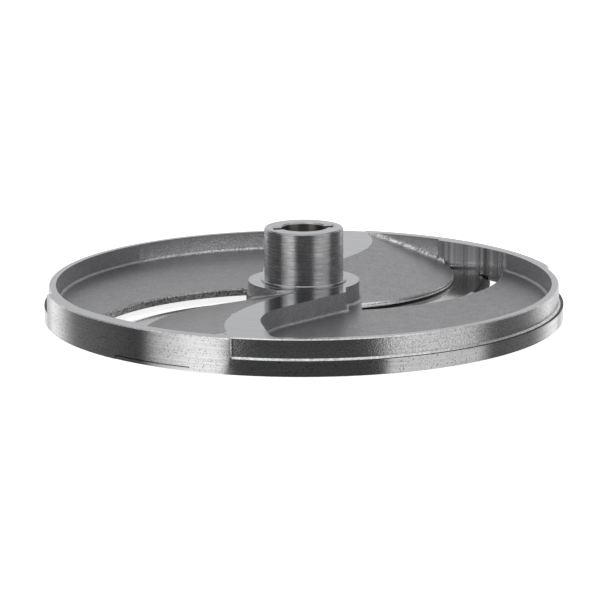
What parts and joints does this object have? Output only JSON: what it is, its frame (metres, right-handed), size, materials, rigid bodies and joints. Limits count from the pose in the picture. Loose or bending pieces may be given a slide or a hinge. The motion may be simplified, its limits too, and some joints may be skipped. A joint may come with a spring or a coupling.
{
  "type": "slicing disc",
  "caption": "Round cast slicing disc with a raised rim, a keyed hub, sloping S-shaped arms and crescent blades set along curved slots.",
  "frame": {"origin": "centre of the disc on its flat cutting face", "axes": "+Z along the bore towards the open end of the hub; +X to the right and -Y towards the viewer in the picture"},
  "size_m": [0.205, 0.205, 0.0346],
  "materials": {
    "cast_steel": "sand-cast pockets with turned rim and hub and ground lands",
    "blade_steel": "polished",
    "screw_steel": "satin"
  },
  "bodies": {
    "root": {"disc_body": "cast_steel", "front_blade": "blade_steel", "rear_blade": "blade_steel", "blade_screws": "screw_steel"}
  },
  "joints": []
}
